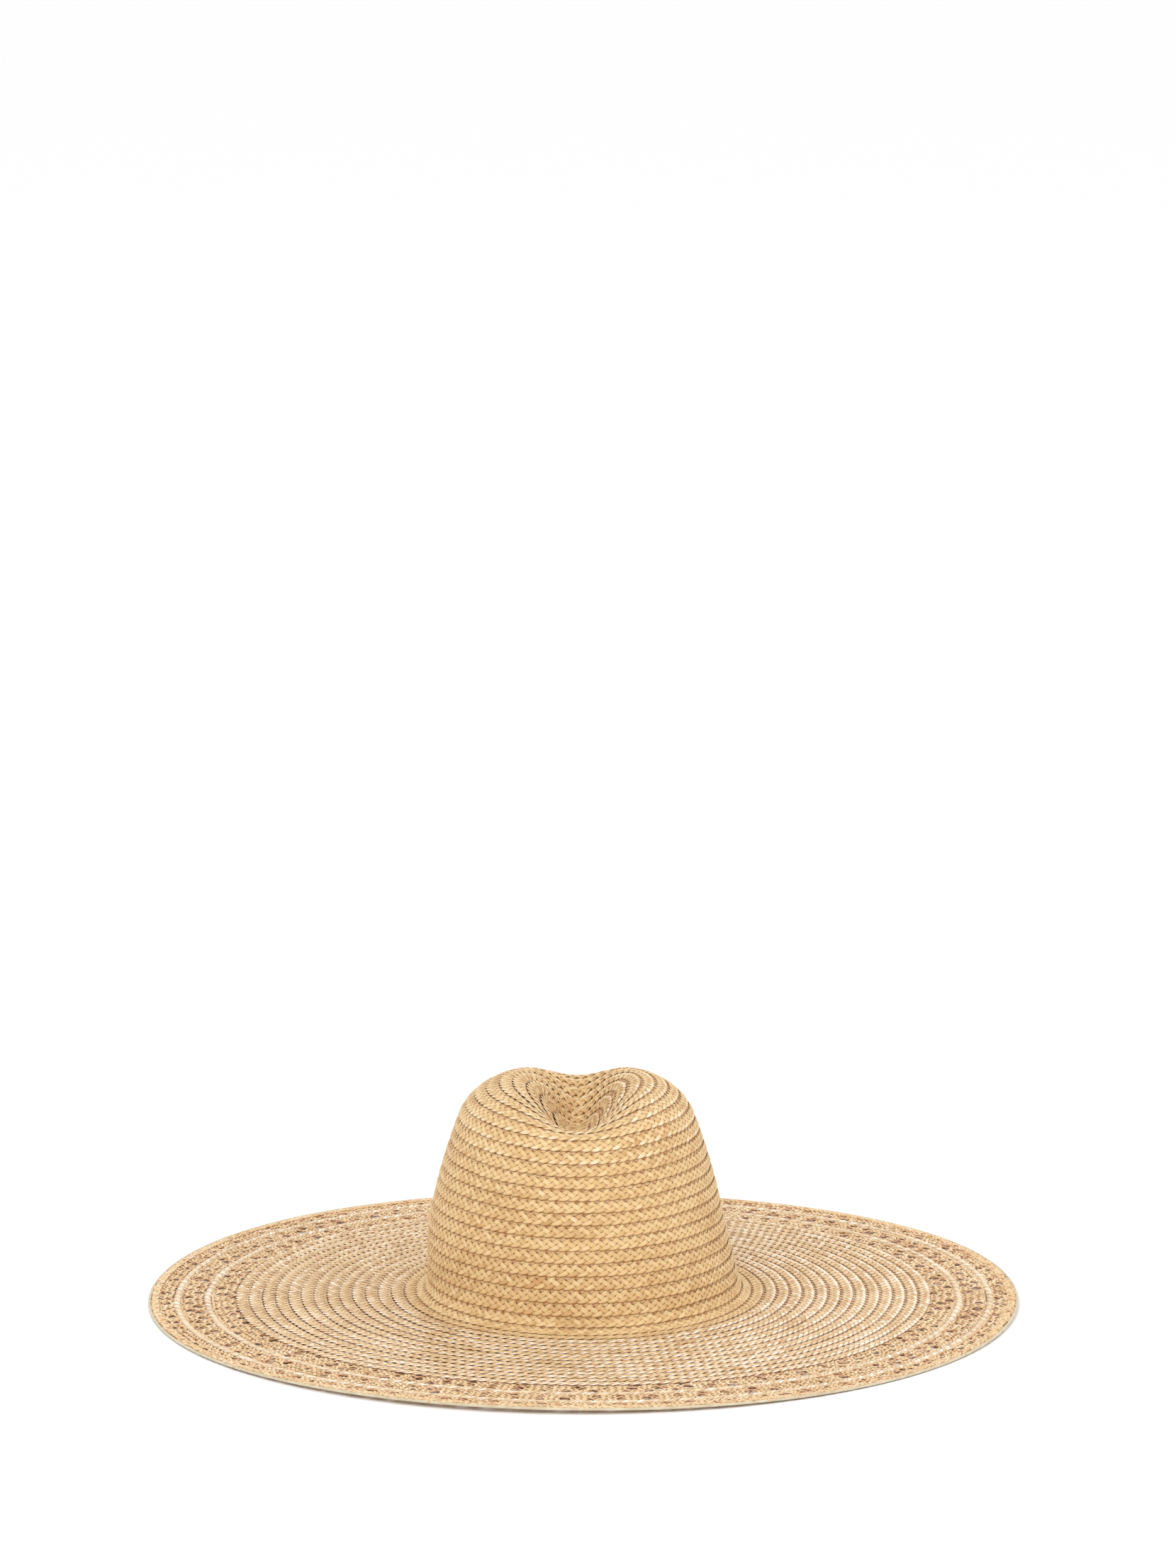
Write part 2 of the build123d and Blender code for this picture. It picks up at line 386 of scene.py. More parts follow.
def zigzag(phase, round_off):
    """Where a strand is across a plait, from 0 to 1 and back, with rounded turns."""
    triangle = 1 - np.abs(2 * phase - 1)
    cosine = (1 - np.cos(2 * math.pi * phase)) / 2
    return round_off * cosine + (1 - round_off) * triangle


def strand_tones(count, cells, seed, accent):
    """Random tints along a strand: its base tint, and how brown it is, which is mostly not at all.

    Half of the base tint changes slowly, and half of it all at once.
    """
    draw = np.random.default_rng(seed)
    knots = max(int(cells), 4)
    base = draw.uniform(0.0, 1.0, knots)
    brown = (draw.random(knots) < accent) * draw.uniform(0.5, 1.0, knots)
    places = np.linspace(0, knots - 1, count)
    near = np.minimum(np.round(places).astype(int), knots - 1)
    slow = np.interp(places, np.arange(knots), np.convolve(base, np.ones(3) / 3, mode="same"))
    return 0.5 * slow + 0.5 * base[near], brown[near]


def lapped(step, width):
    """How far out a round lies at a distance across it: low at the lap, then rounded over."""
    ending = smooth(width - SWELL_END[0], width - SWELL_END[1], step)
    return smooth(*LAP_RISE, step) + SWELL * smooth(*SWELL_START, step) * (1 - ending)


def level(step, width):
    """The same for a band that lies flat."""
    return SWELL * np.sin(math.pi * np.clip(step / width, 0, 1))


def plait(
    name, material, start, width, strands, cell, strand, thick, lift, seed,
    form=lapped, low=0.0, round_off=BRAID_ROUND_OFF, wobble=0.25, jitter=0.09, ragged=0.0,
    eyelets=None, shade_start=0.85, shade_end=-0.2, painted_highlight=0.0, accent=0.012,
):
    """One closed round of flat plait, width wide from a length on the profile.

    The plait: cell is the length of a cell, strand and thick are a strand's width and thickness,
    lift is how far it goes over and under, and low is how far out the whole plait lies.
    Its turns are rounded by round_off, and eyelets is a function that pushes strands apart.
    The random part: wobble moves the whole round, jitter each strand, and ragged its outer turns.
    The colours: shade_start and shade_end are painted shade at the two edges, a negative shade_end
    being a painted highlight; painted_highlight is a painted highlight near the outer one, and
    accent is the share of brown stretches.
    """
    middle = start + width / 2
    cells = int(round(turn_length(middle) / cell))
    count = cells * CELL_POINTS
    angle = even_angles(middle, count)[0]
    step = np.arange(count + 1)
    margin = strand * SLACK
    made = Strands(name)
    drift = wander(angle, DRIFT_WAVES, wobble, seed + 501)
    for k in range(strands):
        phase = ((step / CELL_POINTS + k) / strands) % 1.0
        across = zigzag(phase, round_off)
        stray = wander(angle, STRAY_WAVES, jitter, seed * 31 + k + 900)
        s = start + margin + across * (width - 2 * margin) + drift + stray
        if ragged:
            s = s + smooth(*RAGGED, across) * wander(angle, RAGGED_WAVES, ragged, seed * 7 + k)
        here = angle
        rim = 0.0
        if eyelets is not None:
            s, here, rim = eyelets(s, angle, middle)
        height = over_under(phase, strands) * lift
        line = lifted(s, here, low + form(s - start, width) + thick / 2 + lift + height)

        turned = np.abs(2 * across - 1) ** TURN_SHARPNESS
        uneven = wander(angle, WIDTH_WAVES, WIDTH_STRAY, seed * 17 + k)
        half_width = strand / 2 * (1 + uneven) * (1 - TURN_NARROWER * turned)
        half_thick = thick / 2 * (1 + TURN_THICKER * turned)

        share = np.clip((s - start) / width, 0, 1)
        least, usual, most = DASHES
        dashes = usual + wander(angle, DASH_WAVES, DASH_STRAY, seed * 53 + k)
        dashes = np.clip(dashes, least, most)
        # Painted shade: darker under the lap of the round before, at the far edge, where a strand passes
        # under the others and round the eyelets; a negative shade_end paints the far edge lighter.
        lap = (1 - smooth(*LAP_SHADE, share)) * shade_start * dashes
        edge = smooth(*EDGE_SHADE, share) * shade_end
        under = UNDER_SHADE * (1 - height / lift) / 2
        deep = np.clip(lap + edge + under + EYELET_SHADE * rim, 0, DEEPEST)
        base, brown = strand_tones(count + 1, cells / strands * 2, seed * 101 + k, accent)
        # Painted sheen: paler or darker by the way a strand slants.
        painted_sheen = np.where(phase < 0.5, SLANT_SHEEN, -SLANT_SHEEN)
        # Painted highlight: a round's outer edge is paler, as where it catches the light.
        base = base + painted_sheen + painted_highlight * smooth(*PAINTED_HIGHLIGHT, share)
        made.add(line, normal(s, here), half_width, half_thick, (seed * 13 + k * 7.3, base, brown, deep))
    return made.build(material)


# ---- materials -----------------------------------------------------------------------------------

def linear(red, green, blue):
    """A colour given as it looks on screen, 0 to 255."""
    shares = []
    for value in (red, green, blue):
        value /= 255
        shares.append(value / 12.92 if value <= 0.04045 else ((value + 0.055) / 1.055) ** 2.4)
    return (*shares, 1.0)


class Nodes:
    """Builds one node material with short calls."""

    def __init__(self, name):
        self.material = bpy.data.materials.new(name)
        self.material.use_nodes = True
        self.tree = self.material.node_tree
        self.shader = self.tree.nodes["Principled BSDF"]

    def make(self, kind, **settings):
        node = self.tree.nodes.new(kind)
        for key, value in settings.items():
            setattr(node, key, value)
        return node

    def link(self, source, target):
        self.tree.links.new(source, target)

    def attribute(self, name):
        return self.make("ShaderNodeAttribute", attribute_name=name)

    def split(self, vector):
        """The three numbers of a vector."""
        parts = self.make("ShaderNodeSeparateXYZ")
        self.link(vector, parts.inputs[0])
        return parts.outputs

    def stretch(self, vector, scale):
        node = self.make("ShaderNodeMapping")
        node.inputs["Scale"].default_value = scale
        self.link(vector, node.inputs["Vector"])
        return node.outputs[0]

    def noise(self, vector, scale, detail):
        node = self.make("ShaderNodeTexNoise", noise_dimensions="3D")
        node.inputs["Scale"].default_value = scale
        node.inputs["Detail"].default_value = detail
        self.link(vector, node.inputs["Vector"])
        return node.outputs["Fac"]

    def math(self, operation, first, second=None, third=None, clamp=False):
        node = self.make("ShaderNodeMath", operation=operation, use_clamp=clamp)
        for socket, value in zip(node.inputs, (first, second, third)):
            if value is None:
                continue
            if isinstance(value, (int, float)):
                socket.default_value = value
            else:
                self.link(value, socket)
        return node.outputs[0]

    def ramp(self, factor, stops):
        node = self.make("ShaderNodeValToRGB")
        elements = node.color_ramp.elements
        elements[0].position, elements[0].color = stops[0]
        elements[1].position, elements[1].color = stops[-1]
        for position, color in stops[1:-1]:
            elements.new(position).color = color
        self.link(factor, node.inputs["Fac"])
        return node.outputs["Color"]

    def mix(self, factor, first, second, blend="MIX"):
        node = self.make("ShaderNodeMix", data_type="RGBA", blend_type=blend)
        sockets = (node.inputs[0], node.inputs[6], node.inputs[7])  # its factor and its two colours
        for socket, value in zip(sockets, (factor, first, second)):
            if isinstance(value, (int, float, tuple)):
                socket.default_value = value
            else:
                self.link(value, socket)
        return node.outputs[2]

    def bump(self, height, strength, distance):
        node = self.make("ShaderNodeBump")
        node.inputs["Strength"].default_value = strength
        node.inputs["Distance"].default_value = distance
        self.link(height, node.inputs["Height"])
        self.link(node.outputs["Normal"], self.shader.inputs["Normal"])


# How fast a strand's noise changes for each millimetre along it, for each half width across it
# and with the strand's own place in the noise.
FIBRE_STRETCH = (0.16, 5.0, 1.0)  # fibres are long and fine
PATCH_STRETCH = (0.12, 0.35, 3.7)  # patches are as wide as the strand

# What a strand's base tint, its patches and its fibres add up to is a place on a ramp of tints.
BASE_TINT = 0.33  # on average
PATCH_TINT = 0.26
FIBRE_TINT = 0.5
DARK_AT, MIDDLE_AT, LIGHT_AT = 0.15, 0.42, 0.62
BROWN = (196, 132, 70)

# Painted shade: a strand is darker along its sides, where it meets its neighbours.
OUTLINE = 0.45
OUTLINE_START = 0.62  # as a share of its half width
OUTLINE_SLOPE = 1.9
SHADOW_STRENGTH = 0.85

ROUGHNESS = 0.4
FIBRE_ROUGHNESS = 0.25
DEEP_ROUGHNESS = 0.5


def straw(
    name, dark, middle, light, pale, shadow, pale_at=0.84, fibre=1.0, gloss=0.25, soft=0.1,
    variety=0.42, depth=0.6,
):
    """Raffia: fibres run along each strand, and tints change from strand to strand."""
    n = Nodes(name)
    weave = n.attribute("weave").outputs["Vector"]
    channels = n.make("ShaderNodeSeparateColor")
    n.link(n.attribute("tone").outputs["Color"], channels.inputs[0])
    base, accent, deep = channels.outputs
    fibres = n.noise(n.stretch(weave, FIBRE_STRETCH), 1.0, 3.0)
    fibres.node.inputs["Roughness"].default_value = 0.6
    patches = n.noise(n.stretch(weave, PATCH_STRETCH), 1.0, 2.0)

    mixed = n.math("MULTIPLY_ADD", base, variety, BASE_TINT - variety / 2)
    mixed = n.math("MULTIPLY_ADD", patches, PATCH_TINT, mixed)
    mixed = n.math("MULTIPLY_ADD", n.math("SUBTRACT", fibres, 0.5), FIBRE_TINT * fibre, mixed)
    color = n.ramp(mixed, [
        (DARK_AT, linear(*dark)),
        (MIDDLE_AT, linear(*middle)),
        (LIGHT_AT, linear(*light)),
        (pale_at, linear(*pale)),
    ])
    color = n.mix(accent, color, n.mix(fibres, linear(*BROWN), linear(*middle)))

    # Painted shade: darker along each strand's sides and by the tone's depth of shade, towards the
    # shadow colour.
    aside = n.math("ABSOLUTE", n.split(weave)[1])
    edge = n.math("MULTIPLY", n.math("SUBTRACT", aside, OUTLINE_START), OUTLINE_SLOPE, clamp=True)
    edge = n.math("MULTIPLY", edge, OUTLINE)
    darken = n.math("ADD", n.math("MULTIPLY", deep, depth), edge, clamp=True)
    shaded = n.mix(SHADOW_STRENGTH, color, linear(*shadow), "MULTIPLY")
    n.link(n.mix(darken, color, shaded), n.shader.inputs["Base Color"])

    rough = n.math("MULTIPLY_ADD", fibres, FIBRE_ROUGHNESS, ROUGHNESS)
    rough = n.math("MULTIPLY_ADD", deep, DEEP_ROUGHNESS, rough, clamp=True)
    n.link(rough, n.shader.inputs["Roughness"])
    n.bump(fibres, strength=0.55, distance=0.00022)
    n.shader.inputs["Specular IOR Level"].default_value = gloss
    n.shader.inputs["Sheen Weight"].default_value = soft
    return n.material


RIB = 1.1  # from one rib of the ribbon to the next
YARN = 0.45  # and from one yarn to the next across it


def grosgrain(name, light, dark):
    """Ribbon with ribs across it and a fine weave."""
    n = Nodes(name)
    weave = n.attribute("weave").outputs["Vector"]
    along, across, _ = n.split(weave)
    rib = n.math("SINE", n.math("MULTIPLY", along, 2 * math.pi / RIB))
    yarn = n.math("SINE", n.math("MULTIPLY", across, 2 * math.pi / YARN))
    uneven = n.math("SUBTRACT", n.noise(weave, 0.9, 4.0), 0.5)
    # Painted shade: the colour is lighter on each rib and darker in the grooves between them.
    tone = n.math("MULTIPLY_ADD", rib, 0.22, 0.5)
    tone = n.math("MULTIPLY_ADD", uneven, 0.5, tone)
    color = n.ramp(tone, [(0.15, linear(*dark)), (0.75, linear(*light))])
    n.link(color, n.shader.inputs["Base Color"])
    n.bump(n.math("MULTIPLY_ADD", yarn, 0.25, rib), strength=0.5, distance=0.00015)
    n.shader.inputs["Roughness"].default_value = 0.75
    n.shader.inputs["Sheen Weight"].default_value = 0.2
    return n.material


def nylon(name, dark, light):
    """The faintly uneven tint of a nylon wire."""
    n = Nodes(name)
    place = n.make("ShaderNodeTexCoord").outputs["Object"]
    color = n.ramp(n.noise(place, 220.0, 2.0), [(0.3, linear(*dark)), (0.7, linear(*light))])
    n.link(color, n.shader.inputs["Base Color"])
    n.shader.inputs["Roughness"].default_value = 0.45
    return n.material


crown_straw = straw(
    "crown_straw", dark=(190, 146, 92), middle=(224, 190, 136), light=(235, 205, 153),
    pale=(247, 231, 197), shadow=(178, 92, 30), depth=0.85,
)
brim_straw = straw(
    "brim_straw", dark=(186, 144, 92), middle=(220, 185, 131), light=(234, 204, 156),
    pale=(252, 238, 215), shadow=(190, 104, 40), pale_at=0.74, gloss=0.75, soft=0.12, fibre=1.6,
    variety=0.55, depth=0.8,
)
lace_straw = straw(
    "lace_straw", dark=(202, 160, 106), middle=(235, 201, 149), light=(244, 217, 171),
    pale=(254, 242, 218), shadow=(180, 98, 38), pale_at=0.73, gloss=0.6, soft=0.12, fibre=1.4,
    variety=0.5, depth=0.75,
)
cord_straw = straw(
    "cord_straw", dark=(200, 166, 124), middle=(230, 204, 166), light=(243, 226, 198),
    pale=(254, 248, 236), shadow=(176, 118, 64), pale_at=0.72, gloss=0.5,
)

# ---- the plain rounds ----------------------------------------------------------------------------

# The plain braid: its strands, the length of its cells, and a strand's thickness and lift.
BRAID_STRANDS = 5
BRAID_CELL = 5.2
BRAID_STRAND = 2.9
STRAND_THICK = 0.5
BRAID_LIFT = 0.26

# A zone's name, rounds, material and slot, its painted highlight at outer edges and painted lap shade.
ZONES = (
    ("tip", TIP_ROUNDS, crown_straw, "crown_braid", 0.75, 0.85),
    ("side", SIDE_ROUNDS, crown_straw, "crown_braid", 0.15, 0.85),
    ("brim", BRIM_ROUNDS, brim_straw, "brim_braid", 0.7, 0.78),
)

number = 0
for zone, rounds, material, slot, painted_highlight, shade in ZONES:
    for index in range(rounds):
        start = BUTTON_HALF_WIDTH + PITCH * number
        number += 1
        node = f"{zone}_round_{index + 1:02d}"
        piece = plait(
            f"{node}_plait", material, start, PITCH + LAP, strands=BRAID_STRANDS,
            cell=BRAID_CELL, strand=BRAID_STRAND, thick=STRAND_THICK, lift=BRAID_LIFT, seed=number,
            shade_start=shade, painted_highlight=painted_highlight,
        )
        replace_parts(piece, node)

# ---- openwork bands, ridge cords, edge -----------------------------------------------------------

TUCK = 1.2  # how far an openwork band reaches under the cords beside it

# A band's name, width, strands and rows of eyelets.  A row is its distance across the band, the
# spacing of its eyelets, the first one's place in that spacing, and an eyelet's half sizes across
# the band and along it.
LACE_BANDS = (
    ("inner", LACE_INNER_WIDTH, 10, (
        (3.4, 14.2, 0.0, 2.2, 2.3),
        (7.8, 14.2, 0.5, 2.6, 2.6),
        (12.2, 14.2, 0.0, 2.2, 2.5),
    )),
    ("middle", LACE_MIDDLE_WIDTH, 8, (
        (3.1, 14.0, 0.2, 2.7, 2.6),
        (8.3, 14.0, 0.7, 2.5, 2.5),
    )),
    ("outer", LACE_OUTER_WIDTH, 6, (
        (2.0, 13.0, 0.4, 1.8, 2.5),
        (5.2, 13.0, 0.9, 1.7, 2.3),
    )),
)
EDGE_ROWS = ((1.5, 9.0, 0.3, 1.0, 1.5),)
CORD_AFTER = {"inner": "inner", "middle": "outer"}  # the ridge cord that follows a band

EYELET_SIZES = (0.55, 1.3)
STRAY_ALONG = 0.16  # an eyelet's stray, as a share of the spacing
STRAY_ACROSS = 0.7
PUSH_FADE = (1.2, 3.0)  # the push runs out between these distances, in sizes of the eyelet
RIM_FADE = (1.0, 1.25)

EDGE_TUCK = 0.5
EDGE_OVERHANG = 0.4  # the edge plait reaches this far past the profile's end

TWIST_WIDTH = CORD_WIDTH - 0.4
TWIST_HEIGHT = CORD - 0.9
TWIST_LAY = 8.0  # the length of one turn of the twist
TWIST_POINTS = 9  # points of a strand in one turn
TWIST_STRAND = 0.27  # a strand's half sizes, as shares of the cord's sizes
TWIST_ASIDE = 0.25  # how far a strand swings to each side, as a share of the cord's width
TWIST_UP = 0.24  # and up and down, as a share of its height
TWIST_TINTS = (0.3, 0.0, -0.35)  # one for each strand
TWIST_DRIFT = 0.5
TWIST_DRIFT_WAVES = (3, 5, 9, 23, 37)
TWIST_LOOSE = 0.3  # how unevenly a strand swings, as a share of its swing
TWIST_LOOSE_WAVES = (31, 47, 71)


def eyelet_rows(start, rows, seed):
    """A function that pushes strands apart round a band's eyelets and says how near a rim they lie."""
    draw = np.random.default_rng(seed)
    holes = []
    for across, spacing, first, half_across, half_along in rows:
        place = start + across
        count = int(round(turn_length(place) / spacing))
        angles, _ = even_angles(place, count)
        step = 2 * math.pi / count
        for i in range(count):
            size = draw.uniform(*EYELET_SIZES)
            angle = angles[i] + (first + draw.uniform(-STRAY_ALONG, STRAY_ALONG)) * step
            s = place + draw.uniform(-STRAY_ACROSS, STRAY_ACROSS)
            holes.append((angle, s, half_across * size, half_along * size))
    hole_angle, hole_s, hole_across, hole_along = np.array(holes).T[:, None, :]

    def push(s, angle, middle):
        w = float(profile(middle)[0]) + OVAL / 2

        def from_holes(s, angle):
            gap = (angle[:, None] - hole_angle + math.pi) % (2 * math.pi) - math.pi
            return gap * w / hole_along, (s[:, None] - hole_s) / hole_across

        along, across = from_holes(s, angle)
        distance = np.sqrt(along ** 2 + across ** 2) + 1e-3
        grown = np.sqrt(distance ** 2 + 1.0)
        shift = (grown - distance) / distance * (1 - smooth(*PUSH_FADE, distance))
        s = s + (across * shift * hole_across).sum(axis=1)
        angle = angle + (along * shift * hole_along).sum(axis=1) / w
        rim = 1 - smooth(*RIM_FADE, np.hypot(*from_holes(s, angle)))
        return s, angle, rim.max(axis=1)

    return push


def twisted_cord(name, place, seed):
    """A soft cord twisted of three strands, laid along a profile length."""
    turns = int(round(turn_length(place) / TWIST_LAY))
    count = turns * TWIST_POINTS
    angle = even_angles(place, count)[0]
    made = Strands(name)
    drift = wander(angle, TWIST_DRIFT_WAVES, TWIST_DRIFT, seed)
    for k, tint in enumerate(TWIST_TINTS):
        twist = 2 * math.pi * (np.arange(count + 1) * turns / count + k / 3)
        loose = 1 + wander(angle, TWIST_LOOSE_WAVES, TWIST_LOOSE, seed * 3 + k)
        s = place + drift + TWIST_WIDTH * TWIST_ASIDE * np.cos(twist) * loose
        out = TWIST_HEIGHT / 2 + TWIST_HEIGHT * TWIST_UP * np.sin(twist)
        base, brown = strand_tones(count + 1, turns, seed * 7 + k, 0.004)
        # Painted shade: a strand is darker where the twist takes it down under the others.
        deep = np.clip(0.3 - np.sin(twist) * 0.55, 0, 1)
        made.add(
            lifted(s, angle, out), normal(s, angle), TWIST_WIDTH * TWIST_STRAND,
            TWIST_HEIGHT * TWIST_STRAND, (seed + k * 5.1, base + tint, brown, deep), ring=ROUND_RING,
        )
    return made.build(cord_straw)


place = BUTTON_HALF_WIDTH + PITCH * (TIP_ROUNDS + SIDE_ROUNDS + BRIM_ROUNDS)
for order, (label, width, strands, rows) in enumerate(LACE_BANDS):
    piece = plait(
        f"lace_{label}_openwork", lace_straw, place - TUCK, width + 2 * TUCK,
        strands=strands, cell=4.2, strand=1.8, thick=STRAND_THICK, lift=0.42, seed=60 + order,
        form=level, round_off=0.45, wobble=0.4, jitter=0.3,
        eyelets=eyelet_rows(place, rows, 40 + order), shade_start=0.25, shade_end=0.15, accent=0.05,
    )
    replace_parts(piece, f"lace_band_{label}")
    place += width + TRIM_GAP
    if label in CORD_AFTER:
        cord = CORD_AFTER[label]
        piece = twisted_cord(f"ridge_{cord}_twist", place + CORD_WIDTH / 2, 80 + order)
        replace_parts(piece, f"ridge_cord_{cord}")
        place += CORD_WIDTH + TRIM_GAP

piece = plait(
    "edge_plait", lace_straw, place - EDGE_TUCK,
    PROFILE_LENGTH - place + (EDGE_TUCK + EDGE_OVERHANG), strands=5, cell=3.2, strand=1.9,
    thick=0.7, lift=0.4, seed=75, form=level, low=0.35, round_off=0.5, wobble=0.3, jitter=0.3,
    ragged=1.4, eyelets=eyelet_rows(place, EDGE_ROWS, 44), shade_start=0.2, shade_end=0.1,
    accent=0.05,
)
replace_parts(piece, "edge_braid")

# ---- the button ----------------------------------------------------------------------------------

BUTTON_HALF_LENGTH = BUTTON_HALF_WIDTH + LAP + OVAL
BUTTON_SHORTER = 1.0  # the plait ends this far inside the button's oval
BUTTON_NARROWER = 0.6  # and keeps this far inside its sides
BUTTON_ROUNDING = 3.0  # the plait narrows towards its ends, and would close this far past them
BUTTON_UP = 0.5  # the plait's middle above the lower face of the button's CAD solid
BUTTON_STRAND = 3.1
BUTTON_THICK = 0.56


def button():
    """The folded start of the braid: a short flat plait along the bottom of the dent."""
    half_length = BUTTON_HALF_LENGTH - BUTTON_SHORTER
    count = int(round(2 * half_length / BRAID_CELL)) * CELL_POINTS
    along = np.linspace(-half_length, half_length, count + 1)
    room = (1 - (along / (half_length + BUTTON_ROUNDING)) ** 4) ** 0.5
    half_width = BUTTON_HALF_WIDTH + LAP - BUTTON_NARROWER
    aside = LEAN * (1 - (along / BUTTON_HALF_LENGTH) ** 2)
    made = Strands("button_plait")
    for k in range(BRAID_STRANDS):
        phase = ((np.arange(count + 1) / CELL_POINTS + k) / BRAID_STRANDS) % 1.0
        height = over_under(phase, BRAID_STRANDS)
        x = aside + (zigzag(phase, BRAID_ROUND_OFF) - 0.5) * 2 * half_width * room
        out = BRAID + CLEARANCE + BUTTON_UP + BRAID_LIFT * height
        up = normal(x, along, button_surface)
        base, brown = strand_tones(count + 1, 8, 900 + k, 0.01)
        # Painted shade: a strand is darker where it passes under the others.
        deep = 0.25 * (1 - height) / 2
        made.add(
            lifted(x, along, out, button_surface), up, BUTTON_STRAND / 2, BUTTON_THICK / 2,
            (k * 3.1, base, brown, deep),
        )
    return made.build(crown_straw)


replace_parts(button(), "crown_button")

# ---- the sweatband, its tab and its stitches -------------------------------------------------------

BAND_BOTTOM = CROWN_LENGTH - FLARE[0] - SWEATBAND_UP
BAND_TOP = BAND_BOTTOM - SWEATBAND_HEIGHT
BAND_FACE = -SWEATBAND_INSET - SWEATBAND
BAND_ROWS = 13
BAND_COLUMNS = 360
RIBBON = 0.5  # thickness of the ribbon
TAB = 0.4  # and of its tab
TAB_ROWS = 17
TAB_COLUMNS = 15
TAB_MIDDLE = -math.pi / 2
TAB_HALF_TURN = JOIN_HALF_WIDTH / float(profile(BAND_BOTTOM)[0])
TAB_SHORTER = 0.5  # the tab ends this far inside the ribbon's two edges
RIBBON_INSIDE = 0.08  # from the face of the CAD solid to that of the ribbon
TAB_INSIDE = 0.1  # and to that of the tab

# How far out a stitch's points lie from a line just inside the ribbon.  Its ends go into the ribbon.
STITCH_BOW = np.array([0.28, 0.02, -0.12, -0.16, -0.12, 0.02, 0.28])
STITCH_FACE = 0.1  # from the face of the ribbon's CAD solid in to that line
STITCH_HALF_WIDTH = 0.22
STITCH_HALF_THICK = 0.2
STITCH_FREE_TURN = 0.03  # the angle left free at each side of the tab

# A ribbon's unwrap, as places along v: its inner face, its outer face, its two edges and its ends.
FACE_HEIGHT = 0.47
OUTER_FACE = 0.5
TOP_EDGE = (0.98, 0.985)
BOTTOM_EDGE = (0.99, 0.995)
ENDS = (0.996, 0.998)
END_WIDTH = 0.01


def ribbon_faces(rows, columns, closed):
    """The faces of a ribbon with two sides and its edges, and their corners in the unwrap."""
    half = rows * columns
    faces, uvs = [], []
    turns = columns if closed else columns - 1
    for i in range(rows - 1):
        v0, v1 = i / (rows - 1) * FACE_HEIGHT, (i + 1) / (rows - 1) * FACE_HEIGHT
        for j in range(turns):
            k = (j + 1) % columns
            corners = (i * columns + j, i * columns + k, (i + 1) * columns + k, (i + 1) * columns + j)
            faces.append(corners)
            faces.append(tuple(half + corner for corner in reversed(corners)))
            u0, u1 = j / turns, (j + 1) / turns
            uvs += [u0, v0, u1, v0, u1, v1, u0, v1]
            v2, v3 = OUTER_FACE + v0, OUTER_FACE + v1
            uvs += [u0, v3, u1, v3, u1, v2, u0, v2]
    low = (rows - 1) * columns
    for j in range(turns):
        k = (j + 1) % columns
        faces.append((k, j, half + j, half + k))
        faces.append((low + j, low + k, half + low + k, half + low + j))
        u0, u1 = j / turns, (j + 1) / turns
        uvs += [u1, TOP_EDGE[0], u0, TOP_EDGE[0], u0, TOP_EDGE[1], u1, TOP_EDGE[1]]
        uvs += [u0, BOTTOM_EDGE[0], u1, BOTTOM_EDGE[0], u1, BOTTOM_EDGE[1], u0, BOTTOM_EDGE[1]]
    if not closed:
        for i in range(rows - 1):
            near, far = i * columns, i * columns + columns - 1
            faces.append((near, near + columns, half + near + columns, half + near))
            faces.append((far + columns, far, half + far, half + far + columns))
            uvs += [0.0, ENDS[0], END_WIDTH, ENDS[0], END_WIDTH, ENDS[1], 0.0, ENDS[1]] * 2
    return faces, uvs


def ribbon_sheet(name, places, angles, out, thickness, material, closed=False):
    """A thin sheet with its inner face a distance out and its outer face a thickness above it.

    It returns the piece, and its length at half its height.
    """
    rows, columns = len(places), len(angles)
    s, angle = np.meshgrid(places, angles, indexing="ij")
    inner = lifted(s, angle, out)
    outer = lifted(s, angle, out + thickness)
    points = np.concatenate([inner.reshape(-1, 3), outer.reshape(-1, 3)]) * MM
    faces, uvs = ribbon_faces(rows, columns, closed)
    mesh = bpy.data.meshes.new(name)
    mesh.from_pydata([tuple(point) for point in points], [], faces)
    mesh.uv_layers.new(name="OFBake").data.foreach_set("uv", np.array(uvs, np.float32))
    run = lengths_along(inner[rows // 2])
    values = np.zeros((2, rows, columns, 3))
    values[..., 0] = run[None, None, :]
    values[..., 1] = np.asarray(places)[None, :, None] - places[0]
    weave = mesh.attributes.new("weave", "FLOAT_VECTOR", "POINT")
    weave.data.foreach_set("vector", values.astype(np.float32).ravel())
    return add_piece(name, mesh, material), run[-1]


def stitching(material):
    """The stitches that hold the ribbon, all round but for its tab."""
    made = Strands("sweatband_thread")
    half_turn = STITCH_LENGTH / 2 / (float(profile(BAND_BOTTOM)[0]) + OVAL / 2)
    points = len(STITCH_BOW)
    places = np.full(points, BAND_BOTTOM - STITCH_UP)
    for i in range(STITCHES):
        angle = 2 * math.pi * (i + 0.5) / STITCHES
        if abs(angle - 3 * math.pi / 2) <= TAB_HALF_TURN + STITCH_FREE_TURN:
            continue
        angles = np.linspace(angle - half_turn, angle + half_turn, points)
        made.add(
            lifted(places, angles, BAND_FACE - STITCH_FACE + STITCH_BOW), normal(places, angles),
            STITCH_HALF_WIDTH, STITCH_HALF_THICK, (i * 1.7, 0.5, 0.0, 0.0),
        )
    return made.build(material)


